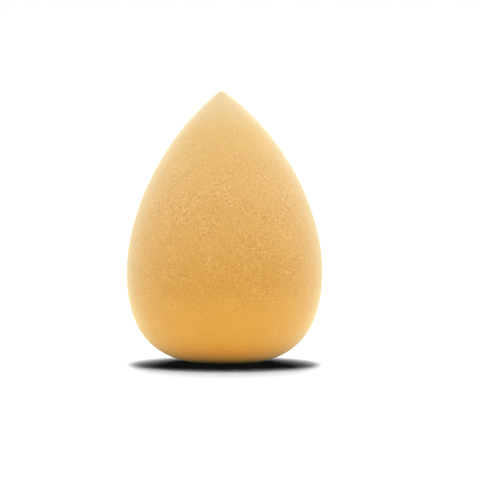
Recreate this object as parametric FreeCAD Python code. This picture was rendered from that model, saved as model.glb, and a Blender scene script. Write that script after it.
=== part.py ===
"""Teardrop makeup sponge, moulded in one piece of soft foam and standing on its round end.

Millimetres and degrees. The origin is the middle of the flat that the foam rests on, and +Z runs up to the point.
"""
import FreeCAD, Part
import math
import os

# Overall sizes of the foam as it stands.
height = 60.0
belly_diameter = 43.5
belly_height = 20.0

# The round end: its curve before it settles, and how far it flattens where it rests.
underside_radius = 56.0
settle_depth = 0.5

# The point: its rounding, and the angle from the axis to its side just below that.
point_radius = 1.5
point_half_angle = 53.0

# How far each end of a side curve keeps its first direction, as a share of the width or rise that the curve spans.
underside_share = 0.60
lower_belly_share = 0.65
upper_belly_share = 0.32
point_share = 0.41


def at(radius, level):
    """Gives the point of the profile at this distance from the axis and this height."""
    return FreeCAD.Vector(radius, 0, level)


def side_curve(start, start_handle, end_handle, end):
    """Gives one smooth edge between two points of the profile."""
    curve = Part.BezierCurve()
    curve.setPoles([start, start_handle, end_handle, end])
    return curve.toShape()


def sponge_profile():
    """Gives the half outline of the sponge, from the axis at the foot round to the axis at the point."""
    belly_radius = belly_diameter / 2
    belly = at(belly_radius, belly_height)

    foot_radius = math.sqrt(settle_depth * (2 * underside_radius - settle_depth))
    foot_slope = math.asin(foot_radius / underside_radius)
    foot_edge = at(foot_radius, 0)
    underside_reach = underside_share * (belly_radius - foot_radius)
    underside = side_curve(
        foot_edge,
        foot_edge + at(underside_reach * math.cos(foot_slope), underside_reach * math.sin(foot_slope)),
        belly - at(0, lower_belly_share * belly_height),
        belly,
    )

    slope = math.radians(point_half_angle)
    point_centre = at(0, height - point_radius)
    point_edge = point_centre + at(point_radius * math.cos(slope), point_radius * math.sin(slope))
    rise = point_edge.z - belly_height
    point_reach = point_share * rise
    flank = side_curve(
        belly,
        belly + at(0, upper_belly_share * rise),
        point_edge + at(point_reach * math.sin(slope), -point_reach * math.cos(slope)),
        point_edge,
    )

    halfway = (slope + math.radians(90)) / 2
    point_middle = point_centre + at(point_radius * math.cos(halfway), point_radius * math.sin(halfway))
    crown = at(0, height)
    rounding = Part.Arc(point_edge, point_middle, crown).toShape()

    foot = Part.LineSegment(at(0, 0), foot_edge).toShape()
    axis = Part.LineSegment(crown, at(0, 0)).toShape()
    return Part.Wire([foot, underside, flank, rounding, axis])


def sponge_body():
    """Gives the whole sponge, its profile turned about the axis."""
    return Part.Face(sponge_profile()).revolve(at(0, 0), FreeCAD.Vector(0, 0, 1), 360)


parts = {"sponge_body": sponge_body()}

os.makedirs("parts", exist_ok=True)
for node, shape in parts.items():
    shape.exportStep(f"parts/{node}.step")
    print(f"{node}: {len(shape.Solids)} solid, valid {shape.isValid()}, {shape.Volume / 1000:.2f} cubic centimetres")
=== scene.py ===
"""A teardrop makeup sponge of fine open-cell foam, standing on a white table in soft studio light.

Metres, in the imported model's frame: +Z up, origin in the middle of the flat that the foam rests on.
"""
import math

import bpy
import numpy as np
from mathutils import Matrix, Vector, noise


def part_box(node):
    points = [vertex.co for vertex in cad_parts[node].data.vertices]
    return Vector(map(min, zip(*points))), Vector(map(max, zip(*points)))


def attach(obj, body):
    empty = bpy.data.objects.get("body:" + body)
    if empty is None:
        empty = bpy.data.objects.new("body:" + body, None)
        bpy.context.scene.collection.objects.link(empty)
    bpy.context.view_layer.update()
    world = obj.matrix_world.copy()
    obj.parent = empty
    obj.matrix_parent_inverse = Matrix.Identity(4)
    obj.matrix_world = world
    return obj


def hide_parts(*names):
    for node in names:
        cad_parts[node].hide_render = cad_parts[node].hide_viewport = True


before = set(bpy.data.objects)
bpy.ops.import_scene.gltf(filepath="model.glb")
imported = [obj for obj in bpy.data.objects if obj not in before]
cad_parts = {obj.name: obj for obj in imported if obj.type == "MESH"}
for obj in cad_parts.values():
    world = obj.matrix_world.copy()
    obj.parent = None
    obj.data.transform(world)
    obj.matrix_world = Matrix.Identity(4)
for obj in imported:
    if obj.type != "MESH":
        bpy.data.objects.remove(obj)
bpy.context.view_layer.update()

# The solid that the foam stands for, and the sizes of its outline.
NODE = "sponge_body"
FOOT_CORNER, CROWN_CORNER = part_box(NODE)
HEIGHT = CROWN_CORNER.z - FOOT_CORNER.z
BELLY_RADIUS = (CROWN_CORNER.x - FOOT_CORNER.x) / 2
BELLY_HEIGHT = 0.020
UNDERSIDE_RADIUS = 0.056
SETTLE_DEPTH = 0.0005
POINT_RADIUS = 0.0015
POINT_HALF_ANGLE = math.radians(53)
UNDERSIDE_SHARE = 0.60
LOWER_BELLY_SHARE = 0.65
UPPER_BELLY_SHARE = 0.32
POINT_SHARE = 0.41
CURVE_STEPS = 400

# The skin is a cube's six square patches blown up to the teardrop, and laid out in columns and rows on its
# map with a margin round each. Corners that agree to this many digits are one point.
PATCH_CELLS = 128
PATCH_COLUMNS = 3
PATCH_ROWS = 2
PATCH_MARGIN = 0.006
SHARED_DIGITS = 7

# How far the moulded foam departs from the drawn outline: the lean of its point, and layers of unevenness.
# Each layer has its span and amount, and is drawn from noise one shift further on.
LEAN_START = 0.040
LEAN_SPAN = 0.018
LEAN_AT_POINT = 0.00055
LEAN_POWER = 1.6
UNEVENNESS = ((0.018, 0.00010), (0.007, 0.00004), (0.0022, 0.00002))
LAYER_SHIFT = 10.0

# Cells of the foam that the skin cuts open: their spacing, radius and the depth of the pit that shows.
# Each has a strength, drawn around a mean by noise of this scale at its centre.
PORES = ((0.00100, 0.00032, 0.00010), (0.00056, 0.00026, 0.00006))
STRENGTH_MEAN = 0.5
STRENGTH_SCALE = 3.7

# The foam's colours, each with the height at which it is pure. Paler towards the point is a painted sheen,
# and the brighter, redder colours at the foot are painted light that offsets the shade and grey sheen
# there.
COLOURS_AND_PAINTED_LIGHT = (
    (0.0015, (0.92, 0.370, 0.014, 1)),
    (0.0060, (0.82, 0.410, 0.074, 1)),
    (0.0180, (0.65, 0.324, 0.060, 1)),
    (0.0400, (0.64, 0.370, 0.114, 1)),
    (0.0510, (0.61, 0.375, 0.122, 1)),
    (0.0600, (0.57, 0.425, 0.235, 1)),
)

# The shares that pores, flecks and blotches add to the red, green and blue of the foam at their strongest.
# The pores' share darkens them as painted shade in their pits.
# A fleck that is lighter than the foam adds the lit shares too, partly as a painted glint on a cell wall.
PAINTED_PORE_SHADES = (-0.08, -0.08, -0.08)
FLECK_SHADES = (0.54, 0.86, 1.00)
LIT_FLECK_SHADES = (0, 0.05, 1.3)
BLOTCH_SHADES = (0.04, 0.07, 0.14)

# Flecks, one for each small cell of the foam: the cells' size along each axis, how softly they blend, the
# changes between which each fleck is drawn, and the power that makes strong ones rare.
FLECK_SIZES = (0.00019, 0.00019, 0.00015)
FLECK_SMOOTHNESS = 0.8
FLECK_CHANGES = (-0.95, 1.05)
FLECK_POWER = 3

# Loose patches of flecks: their size, the span of noise that draws them and the shares of strength in it.
FLECK_PATCH_SIZE = 0.0045
FLECK_PATCH_SPAN = (0.35, 0.65)
FLECK_PATCH_SHARES = (0.35, 1.0)

# Heights over which the flecks come in above the foot and fade below the point, and their shares there.
FLECK_RISE = (0.009, 0.022)
FLECK_FOOT_SHARE = 0.15
FLECK_FALL = (0.037, 0.055)
FLECK_POINT_SHARE = 0.12

# The size of the blotches, the span of roughness that they bring, and the fine grain's size and depth.
BLOTCH_SIZE = 0.006
ROUGHNESSES = (0.82, 0.98)
GRAIN_SIZE = 0.00025
GRAIN_DEPTH = 0.00006

# The velvet look of the cut cells at a glancing angle, and the faint gloss of the foam.
SHEEN_WEIGHT = 1.0
SHEEN_ROUGHNESS = 0.5
SHEEN_TINT = (0.88, 0.95, 0.79, 1)
SPECULAR_LEVEL = 0.2

# Lamps as far away as the sun, each with its turn from +X, its rise, its spread and the level of light that
# it gives a surface facing it, where a level of 1 shows a colour as it is written.
FOAM_LAMPS = (
    ("tent_lamp", math.radians(0), math.radians(90), math.radians(150), 0.19),
    ("right_lamp", math.radians(25), math.radians(20), math.radians(60), 0.16),
    ("back_lamp", math.radians(110), math.radians(25), math.radians(80), 0.14),
)
RING_LAMPS = 8
RING_RISE = math.radians(40)
RING_SPREAD = math.radians(60)
RING_LEVEL = 0.30

# A strip lamp for the table alone, which reaches over the sponge from behind: lamps at even steps of rise.
STRIP_TURN = math.radians(90)
STRIP_STEP = math.radians(14)
STRIP_SPREAD = math.radians(12)
STRIP_LEVELS = (0.35, 0.4, 0.4, 0.4, 0.7, 0.1)

# The table, and the painted glow that it gives off onto the foam in place of bounced light, with the
# distance from the middle of the foot at which each colour of it is pure: none close under the foot, a
# painted shadow there, warm beside the foam, a painted bounce of its colour, and weaker far away.
TABLE_RADIUS = 3.0
TABLE_SIDES = 64
TABLE_COLOUR = (0.95, 0.95, 0.95, 1)
GLOW_LEVEL = 1.06
GLOWS = (
    (0.011, (0.00, 0.00, 0.00, 1)),
    (0.017, (0.60, 0.41, 0.07, 1)),
    (0.023, (1.00, 0.88, 0.36, 1)),
    (0.045, (0.98, 0.93, 0.62, 1)),
    (0.160, (0.38, 0.37, 0.28, 1)),
)

# The photograph's frame, in pixels, and where the sponge stands in it.
FRAME_PIXELS = 480
SPONGE_MIDDLE_PIXEL = (224.5, 226.3)
PIXELS_PER_METRE = 4514
CAMERA_ELEVATION = math.radians(3.25)
CAMERA_DISTANCE = 1.50
SENSOR_WIDTH_MM = 36.0


def smooth_curve(start, start_handle, end_handle, end):
    """Gives points along one cubic curve of the outline, as radius and height."""
    t = np.linspace(0, 1, CURVE_STEPS)[:, None]
    s = 1 - t
    ends = s**3 * np.array(start) + t**3 * np.array(end)
    return ends + 3 * s**2 * t * np.array(start_handle) + 3 * s * t**2 * np.array(end_handle)


def outline():
    """Gives the half outline as radius and height, from the middle of the foot to the crown."""
    foot_radius = math.sqrt(SETTLE_DEPTH * (2 * UNDERSIDE_RADIUS - SETTLE_DEPTH))
    foot_slope = math.asin(foot_radius / UNDERSIDE_RADIUS)
    reach = UNDERSIDE_SHARE * (BELLY_RADIUS - foot_radius)
    foot = np.stack([np.linspace(0, foot_radius, CURVE_STEPS), np.zeros(CURVE_STEPS)], axis=1)
    underside = smooth_curve(
        (foot_radius, 0),
        (foot_radius + reach * math.cos(foot_slope), reach * math.sin(foot_slope)),
        (BELLY_RADIUS, BELLY_HEIGHT * (1 - LOWER_BELLY_SHARE)),
        (BELLY_RADIUS, BELLY_HEIGHT),
    )
    centre = HEIGHT - POINT_RADIUS
    edge_radius = POINT_RADIUS * math.cos(POINT_HALF_ANGLE)
    edge_height = centre + POINT_RADIUS * math.sin(POINT_HALF_ANGLE)
    rise = edge_height - BELLY_HEIGHT
    reach = POINT_SHARE * rise
    reach_out = reach * math.sin(POINT_HALF_ANGLE)
    reach_down = reach * math.cos(POINT_HALF_ANGLE)
    flank = smooth_curve(
        (BELLY_RADIUS, BELLY_HEIGHT),
        (BELLY_RADIUS, BELLY_HEIGHT + UPPER_BELLY_SHARE * rise),
        (edge_radius + reach_out, edge_height - reach_down),
        (edge_radius, edge_height),
    )
    turn = np.linspace(POINT_HALF_ANGLE, math.pi / 2, CURVE_STEPS)
    rounding = np.stack([POINT_RADIUS * np.cos(turn), centre + POINT_RADIUS * np.sin(turn)], axis=1)
    return np.concatenate([foot, underside[1:], flank[1:], rounding[1:]])


def cube_patches():
    """Gives directions from a cube's middle to its finely divided faces, with quads and map corners."""
    steps = np.linspace(-1, 1, PATCH_CELLS + 1)
    even = np.tan(steps * math.pi / 4)
    across, along = np.meshgrid(even, even, indexing="ij")
    flat = np.ones_like(across)
    share_across, share_along = np.meshgrid((steps + 1) / 2, (steps + 1) / 2, indexing="ij")
    corners = np.array([(0, 0), (1, 0), (1, 1), (0, 1)])
    cell_i, cell_j = np.meshgrid(np.arange(PATCH_CELLS), np.arange(PATCH_CELLS), indexing="ij")
    rows = cell_i.ravel()[:, None] + corners[:, 0]
    columns = cell_j.ravel()[:, None] + corners[:, 1]
    local_quads = rows * (PATCH_CELLS + 1) + columns
    directions = []
    quads = []
    maps = []
    for number in range(6):
        axis = number % 3
        side = 1 if number < 3 else -1
        patch = np.empty((PATCH_CELLS + 1, PATCH_CELLS + 1, 3))
        patch[..., axis] = side * flat
        patch[..., (axis + 1) % 3] = across
        patch[..., (axis + 2) % 3] = along
        column = number % PATCH_COLUMNS
        row = number // PATCH_COLUMNS
        u = (column + PATCH_MARGIN + share_across * (1 - 2 * PATCH_MARGIN)) / PATCH_COLUMNS
        v = (row + PATCH_MARGIN + share_along * (1 - 2 * PATCH_MARGIN)) / PATCH_ROWS
        turned = local_quads if side > 0 else local_quads[:, ::-1]
        directions.append(patch.reshape(-1, 3))
        quads.append(turned + number * patch[..., 0].size)
        maps.append(np.stack([u.ravel(), v.ravel()], axis=1))
    directions = np.concatenate(directions)
    directions /= np.linalg.norm(directions, axis=1)[:, None]
    quads = np.concatenate(quads)
    map_corners = np.concatenate(maps)[quads.ravel()]
    rounded = np.round(directions, SHARED_DIGITS)
    unused, first, shared = np.unique(rounded, axis=0, return_index=True, return_inverse=True)
    return directions[first], shared.reshape(-1)[quads], map_corners


def teardrop(directions):
    """Spreads the directions evenly by area over the teardrop, and gives the points and normals there."""
    curve = outline()
    step = np.diff(curve, axis=0)
    length = np.linalg.norm(step, axis=1)
    area = np.concatenate([[0], np.cumsum((curve[:-1, 0] + curve[1:, 0]) * length)])
    tangent = np.gradient(curve, axis=0)
    tangent /= np.linalg.norm(tangent, axis=1)[:, None]
    wanted = (1 + directions[:, 2]) / 2 * area[-1]
    radius = np.interp(wanted, area, curve[:, 0])
    height = np.interp(wanted, area, curve[:, 1])
    normal_out = np.interp(wanted, area, tangent[:, 1])
    normal_up = np.interp(wanted, area, -tangent[:, 0])
    turn = np.arctan2(directions[:, 1], directions[:, 0])
    around = np.stack([np.cos(turn), np.sin(turn)], axis=1)
    points = np.column_stack([around * radius[:, None], height])
    normals = np.column_stack([around * normal_out[:, None], normal_up])
    return points, normals / np.linalg.norm(normals, axis=1)[:, None]


def pore_depths(points):
    """Gives how deep the foam's open cells cut in at each point, in metres and as a share of the most."""
    depth = np.zeros(len(points))
    for spacing, radius, pit_depth in PORES:
        cells = [noise.voronoi(Vector(p)) for p in points / spacing]
        nearest = np.array([distances[0] for distances, centres in cells]) * spacing
        draws = np.array([noise.noise(centres[0] * STRENGTH_SCALE) for distances, centres in cells])
        inside = np.clip(1 - nearest / radius, 0, 1)
        strength = np.clip(STRENGTH_MEAN + draws, 0, 1)
        depth = np.maximum(depth, pit_depth * strength * np.sqrt(inside * (2 - inside)))
    return depth, depth / depth.max()


def mould(points, normals):
    """Moves the points to where the moulded foam lies, and gives them with their share of pore depth."""
    rise = np.zeros(len(points))
    for layer, (span, amount) in enumerate(UNEVENNESS):
        shifted = points / span + LAYER_SHIFT * (layer + 1)
        rise += amount * np.array([noise.noise(Vector(p)) for p in shifted])
    depth, share = pore_depths(points)
    moulded = points + normals * (rise - depth)[:, None]
    lean = np.clip((points[:, 2] - LEAN_START) / LEAN_SPAN, 0, None) ** LEAN_POWER
    moulded[:, 0] -= LEAN_AT_POINT * lean
    moulded[:, 2] = np.maximum(moulded[:, 2], 0)
    return moulded, share


def add_node(tree, kind, **settings):
    """Adds one shader node of this kind, with these settings, and gives it."""
    node = tree.nodes.new(kind)
    for name, value in settings.items():
        setattr(node, name, value)
    return node


def map_range(tree, value, span, results):
    """Turns a value, held within a span, into one that runs over the results, and gives its socket."""
    turned = add_node(tree, "ShaderNodeMapRange")
    tree.links.new(value, turned.inputs["Value"])
    for name, number in zip(("From Min", "From Max", "To Min", "To Max"), (*span, *results)):
        turned.inputs[name].default_value = number
    return turned.outputs["Result"]


def join_values(tree, operation, first, second):
    """Joins two values by this operation, and gives the socket of the result."""
    joined = add_node(tree, "ShaderNodeMath", operation=operation)
    tree.links.new(first, joined.inputs[0])
    tree.links.new(second, joined.inputs[1])
    return joined.outputs[0]


def noise_value(tree, place, size):
    """Gives the socket of soft noise with features of about this size."""
    cloud = add_node(tree, "ShaderNodeTexNoise")
    cloud.inputs["Scale"].default_value = 1 / size
    tree.links.new(place, cloud.inputs["Vector"])
    return cloud.outputs["Fac"]


def colour_ramp(tree, value, reach, stops):
    """Gives the socket of a colour that runs through the stops as a value runs from zero to its reach."""
    ramp = add_node(tree, "ShaderNodeValToRGB")
    tree.links.new(map_range(tree, value, (0, reach), (0, 1)), ramp.inputs["Fac"])
    marks = ramp.color_ramp.elements
    while len(marks) < len(stops):
        marks.new(1)
    for mark, (place, pure) in zip(marks, stops):
        mark.position = place / reach
        mark.color = pure
    return ramp.outputs["Color"]


def shade(tree, colour, change, shades):
    """Shades a colour, where a change of 1 adds these shares of its three parts, and gives its socket."""
    factors = add_node(tree, "ShaderNodeVectorMath", operation="MULTIPLY_ADD")
    tree.links.new(change, factors.inputs[0])
    factors.inputs[1].default_value = shades
    factors.inputs[2].default_value = (1, 1, 1)
    product = add_node(tree, "ShaderNodeVectorMath", operation="MULTIPLY")
    tree.links.new(colour, product.inputs[0])
    tree.links.new(factors.outputs["Vector"], product.inputs[1])
    return product.outputs["Vector"]


def fleck_change(tree, place, height):
    """Gives the socket of how the foam's cells fleck its colour, in loose patches and less at both ends."""
    stretched = add_node(tree, "ShaderNodeVectorMath", operation="DIVIDE")
    tree.links.new(place, stretched.inputs[0])
    stretched.inputs[1].default_value = FLECK_SIZES
    cells = add_node(tree, "ShaderNodeTexVoronoi", feature="SMOOTH_F1")
    cells.inputs["Scale"].default_value = 1
    cells.inputs["Smoothness"].default_value = FLECK_SMOOTHNESS
    tree.links.new(stretched.outputs["Vector"], cells.inputs["Vector"])
    cell = add_node(tree, "ShaderNodeSeparateColor")
    tree.links.new(cells.outputs["Color"], cell.inputs[0])
    sparse = add_node(tree, "ShaderNodeMath", operation="POWER")
    tree.links.new(map_range(tree, cell.outputs["Red"], (0, 1), FLECK_CHANGES), sparse.inputs[0])
    sparse.inputs[1].default_value = FLECK_POWER
    change = sparse.outputs[0]
    patches = noise_value(tree, place, FLECK_PATCH_SIZE)
    for share in (
        map_range(tree, patches, FLECK_PATCH_SPAN, FLECK_PATCH_SHARES),
        map_range(tree, height, FLECK_RISE, (FLECK_FOOT_SHARE, 1)),
        map_range(tree, height, FLECK_FALL, (1, FLECK_POINT_SHARE)),
    ):
        change = join_values(tree, "MULTIPLY", change, share)
    return change


def foam_material():
    """Gives the matte foam: warm yellow, flecked by its cells, with painted shade in its pores, a painted
    pale sheen towards the point and a brighter, redder foot that offsets the shade there.
    """
    material = bpy.data.materials.new("sponge_foam")
    material.use_nodes = True
    tree = material.node_tree
    place = add_node(tree, "ShaderNodeTexCoord").outputs["Object"]
    parts = add_node(tree, "ShaderNodeSeparateXYZ")
    tree.links.new(place, parts.inputs[0])
    height = parts.outputs["Z"]
    blotches = noise_value(tree, place, BLOTCH_SIZE)
    pore = add_node(tree, "ShaderNodeAttribute", attribute_name="pore").outputs["Fac"]

    # The colours by height hold painted light: a pale sheen towards the point and a brighter, redder foot.
    colour = colour_ramp(tree, height, HEIGHT, COLOURS_AND_PAINTED_LIGHT)
    # Painted shade in the pits of the pores.
    colour = shade(tree, colour, pore, PAINTED_PORE_SHADES)
    flecks = fleck_change(tree, place, height)
    lit_flecks = map_range(tree, flecks, (0, 1), (0, 1))
    colour = shade(tree, colour, flecks, FLECK_SHADES)
    # Lighter flecks turn paler: random grain, partly painted glints where cell walls catch light.
    colour = shade(tree, colour, lit_flecks, LIT_FLECK_SHADES)
    colour = shade(tree, colour, map_range(tree, blotches, (0, 1), (-1, 1)), BLOTCH_SHADES)
    bump = add_node(tree, "ShaderNodeBump")
    bump.inputs["Distance"].default_value = GRAIN_DEPTH
    tree.links.new(noise_value(tree, place, GRAIN_SIZE), bump.inputs["Height"])

    shader = tree.nodes["Principled BSDF"]
    tree.links.new(colour, shader.inputs["Base Color"])
    tree.links.new(map_range(tree, blotches, (0, 1), ROUGHNESSES), shader.inputs["Roughness"])
    tree.links.new(bump.outputs["Normal"], shader.inputs["Normal"])
    shader.inputs["Specular IOR Level"].default_value = SPECULAR_LEVEL
    shader.inputs["Sheen Weight"].default_value = SHEEN_WEIGHT
    shader.inputs["Sheen Roughness"].default_value = SHEEN_ROUGHNESS
    shader.inputs["Sheen Tint"].default_value = SHEEN_TINT
    return material


def make_sponge():
    """Builds the foam's skin as one closed mesh, puts it in the solid's place and gives it."""
    directions, quads, map_corners = cube_patches()
    points, normals = teardrop(directions)
    moulded, share = mould(points, normals)
    mesh = bpy.data.meshes.new("sponge_foam")
    mesh.from_pydata(moulded.tolist(), [], quads.tolist())
    mesh.uv_layers.new(name="OFBake").data.foreach_set("uv", map_corners.ravel())
    mesh.attributes.new("pore", "FLOAT", "POINT").data.foreach_set("value", share)
    mesh.polygons.foreach_set("use_smooth", [True] * len(mesh.polygons))
    mesh.materials.append(foam_material())
    mesh.validate()
    sponge = bpy.data.objects.new("sponge_foam", mesh)
    bpy.context.scene.collection.objects.link(sponge)
    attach(sponge, "root")
    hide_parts(NODE)
    # The foam throws no light on the table, so that the shadow stays dark.
    sponge.visible_diffuse = False
    return sponge


def seen_rays(tree):
    """Gives the socket of whether a ray comes from the camera, a reflection or glass."""
    path = add_node(tree, "ShaderNodeLightPath")
    seen = path.outputs["Is Camera Ray"]
    for ray in ("Is Glossy Ray", "Is Transmission Ray"):
        seen = join_values(tree, "MAXIMUM", seen, path.outputs[ray])
    return seen


def make_world():
    """Sets a background that the camera and reflections see as white, and that gives no diffuse light."""
    world = bpy.data.worlds.new("studio")
    bpy.context.scene.world = world
    world.use_nodes = True
    tree = world.node_tree
    white = tree.nodes["Background"]
    white.inputs["Color"].default_value = (1, 1, 1, 1)
    tree.links.new(seen_rays(tree), white.inputs["Strength"])


def table_material():
    """Gives a table that shows its shadow to camera and reflections, and gives the foam a painted glow."""
    material = bpy.data.materials.new("table")
    material.use_nodes = True
    tree = material.node_tree
    tree.nodes.remove(tree.nodes["Principled BSDF"])
    shown = add_node(tree, "ShaderNodeBsdfDiffuse")
    shown.inputs["Color"].default_value = TABLE_COLOUR
    from_foot = add_node(tree, "ShaderNodeVectorMath", operation="LENGTH")
    tree.links.new(add_node(tree, "ShaderNodeTexCoord").outputs["Object"], from_foot.inputs[0])
    distance = from_foot.outputs["Value"]
    # A painted glow: the table gives off light to all rays but camera and reflections, none under the foot.
    glow = add_node(tree, "ShaderNodeEmission")
    glow.inputs["Strength"].default_value = GLOW_LEVEL
    tree.links.new(colour_ramp(tree, distance, GLOWS[-1][0], GLOWS), glow.inputs["Color"])
    mix = add_node(tree, "ShaderNodeMixShader")
    tree.links.new(seen_rays(tree), mix.inputs[0])
    tree.links.new(glow.outputs[0], mix.inputs[1])
    tree.links.new(shown.outputs[0], mix.inputs[2])
    tree.links.new(mix.outputs[0], tree.nodes["Material Output"].inputs["Surface"])
    return material


def make_table():
    """Lays a plain round table top under the sponge, and gives it."""
    mesh = bpy.data.meshes.new("table")
    turns = np.linspace(0, 2 * math.pi, TABLE_SIDES, endpoint=False)
    rim = [(TABLE_RADIUS * math.cos(turn), TABLE_RADIUS * math.sin(turn), 0) for turn in turns]
    mesh.from_pydata(rim, [], [range(TABLE_SIDES)])
    mesh.materials.append(table_material())
    table = bpy.data.objects.new("table", mesh)
    bpy.context.scene.collection.objects.link(table)
    return table


def add_lamp(lit, name, turn, rise, spread, level):
    """Adds one far soft lamp at this turn and rise, which lights nothing but the object lit."""
    lamp = bpy.data.lights.new(name, "SUN")
    lamp.angle = spread
    lamp.energy = level * math.pi
    holder = bpy.data.objects.new(name, lamp)
    toward = Vector((math.cos(rise) * math.cos(turn), math.cos(rise) * math.sin(turn), math.sin(rise)))
    holder.rotation_euler = toward.to_track_quat("Z", "Y").to_euler()
    bpy.context.scene.collection.objects.link(holder)
    holder.light_linking.receiver_collection = bpy.data.collections.new(name)
    holder.light_linking.receiver_collection.objects.link(lit)


def make_camera():
    """Sets the camera where the photograph was taken from."""
    data = bpy.data.cameras.new("camera")
    data.sensor_width = SENSOR_WIDTH_MM
    data.lens = PIXELS_PER_METRE * CAMERA_DISTANCE * SENSOR_WIDTH_MM / FRAME_PIXELS
    camera = bpy.data.objects.new("camera", data)
    middle = Vector((0, 0, HEIGHT / 2))
    back = Vector((0, -math.cos(CAMERA_ELEVATION), math.sin(CAMERA_ELEVATION)))
    up = Vector((0, math.sin(CAMERA_ELEVATION), math.cos(CAMERA_ELEVATION)))
    right_of_middle = (FRAME_PIXELS / 2 - SPONGE_MIDDLE_PIXEL[0]) / PIXELS_PER_METRE
    below_middle = (FRAME_PIXELS / 2 - SPONGE_MIDDLE_PIXEL[1]) / PIXELS_PER_METRE
    aim = middle + Vector((right_of_middle, 0, 0)) - up * below_middle
    camera.location = middle + back * CAMERA_DISTANCE
    camera.rotation_euler = (aim - camera.location).to_track_quat("-Z", "Y").to_euler()
    bpy.context.scene.collection.objects.link(camera)
    bpy.context.scene.camera = camera


bpy.context.scene.view_settings.view_transform = "Standard"
sponge = make_sponge()
table = make_table()
make_world()
for lamp in FOAM_LAMPS:
    add_lamp(sponge, *lamp)
for number in range(RING_LAMPS):
    ring_turn = math.tau * number / RING_LAMPS
    add_lamp(sponge, f"ring_lamp_{number}", ring_turn, RING_RISE, RING_SPREAD, RING_LEVEL)
for number, level in enumerate(STRIP_LEVELS, start=1):
    add_lamp(table, f"strip_lamp_{number}", STRIP_TURN, STRIP_STEP * number, STRIP_SPREAD, level)
make_camera()
